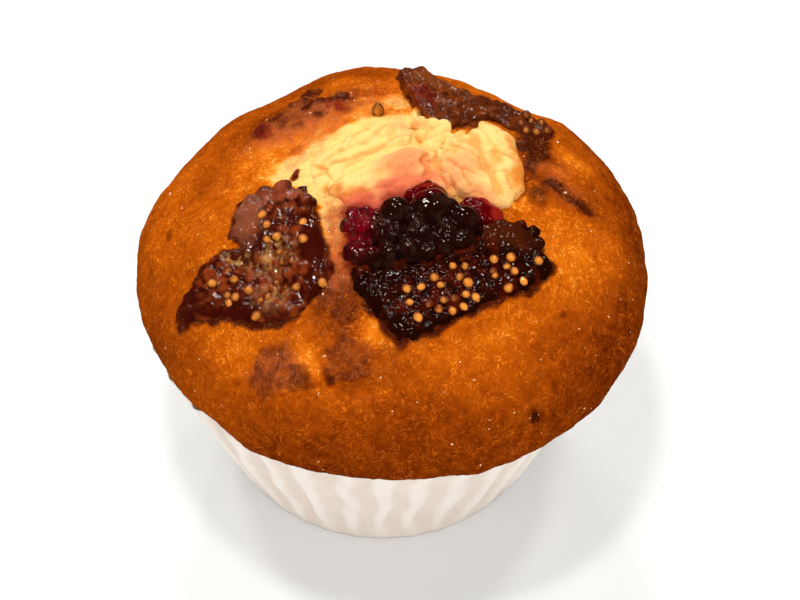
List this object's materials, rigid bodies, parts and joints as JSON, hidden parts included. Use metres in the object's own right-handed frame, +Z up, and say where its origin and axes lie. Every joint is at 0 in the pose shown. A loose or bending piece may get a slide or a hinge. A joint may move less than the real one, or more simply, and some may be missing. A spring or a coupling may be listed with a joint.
{
  "type": "muffin",
  "caption": "Domed fruit muffin in a pleated paper case, with baked fig, dark berry, red fruit and lumps of cream cheese sunk in its crust.",
  "frame": {"origin": "centre of the paper case's flat base, on the surface that the muffin stands on", "axes": "+Z up through the dome, -Y towards the muffin's front, where the berry and the front fig lie, +X to the right as seen from the front"},
  "size_m": [0.08, 0.0808, 0.0594],
  "materials": {
    "crust": "golden brown baked crust with a fine grain and small moist glints",
    "paper": "warm white baking paper, matt, pleated",
    "fig": "dark red-brown baked fig, wet and glossy",
    "berry": "near black baked berry, wet and glossy",
    "red_fruit": "crimson fruit flesh, wet and glossy",
    "cream": "pale yellow baked cream cheese, satin, stained pink near the berry"
  },
  "bodies": {
    "root": {"cake": "crust", "paper_case": "paper", "fig_left": "fig", "fig_front": "fig", "fig_back": "fig", "dark_berry": "berry", "red_fruit_slice": "red_fruit", "red_fruit_back": "red_fruit", "cream_left": "cream", "cream_middle": "cream", "cream_right": "cream"}
  },
  "joints": []
}
